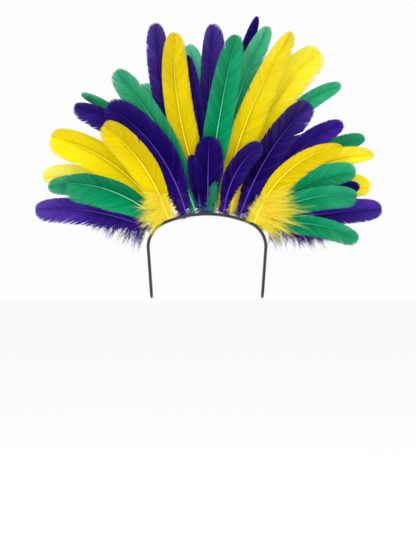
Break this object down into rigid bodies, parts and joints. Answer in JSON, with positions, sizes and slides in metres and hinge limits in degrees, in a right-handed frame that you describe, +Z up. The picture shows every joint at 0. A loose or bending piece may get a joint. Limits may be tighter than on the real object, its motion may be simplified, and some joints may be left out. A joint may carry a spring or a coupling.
{
  "type": "feathered headdress",
  "caption": "Arched padded headband that carries an upright half-round fan of long dyed feathers, short ones at the centre and fluffy down at both sides.",
  "frame": {"origin": "the inside of the band at its top, where it sits on the crown of the head", "axes": "+X to the right seen from behind the wearer, along the fan's width; +Y the way the wearer faces; +Z up"},
  "size_m": [0.4897, 0.069, 0.3985],
  "materials": {
    "band_cloth": "matte woven cloth over padding",
    "yellow_feather": "dyed feather with a soft sheen",
    "green_feather": "dyed feather with a soft sheen",
    "purple_feather": "dyed feather with a soft sheen"
  },
  "bodies": {
    "root": {"headband": "band_cloth", "purple_left_low": "purple_feather", "green_left_back": "green_feather", "green_left_front": "green_feather", "yellow_left_low": "yellow_feather", "yellow_left_wide": "yellow_feather", "yellow_left_front": "yellow_feather", "purple_left_back": "purple_feather", "purple_left_front": "purple_feather", "green_left_tiny": "green_feather", "green_left_tall": "green_feather", "green_left_small": "green_feather", "purple_top_left": "purple_feather", "yellow_top_left": "yellow_feather", "green_top_small": "green_feather", "purple_top_inner": "purple_feather", "purple_centre_left": "purple_feather", "purple_centre_short": "purple_feather", "purple_centre_right": "purple_feather", "purple_mid_right": "purple_feather", "purple_top_mid": "purple_feather", "green_top_mid": "green_feather", "purple_top_tip": "purple_feather", "green_top_right": "green_feather", "yellow_top_right": "yellow_feather", "yellow_right_high": "yellow_feather", "green_right_high": "green_feather", "purple_right_front": "purple_feather", "purple_right_back": "purple_feather", "green_right_small": "green_feather", "yellow_right_front": "yellow_feather", "yellow_right_back": "yellow_feather", "green_right_mid": "green_feather", "purple_right_small": "purple_feather", "yellow_right_small": "yellow_feather", "green_right_low": "green_feather", "purple_right_low": "purple_feather", "green_right_bottom": "green_feather", "purple_right_bottom": "purple_feather"}
  },
  "joints": []
}
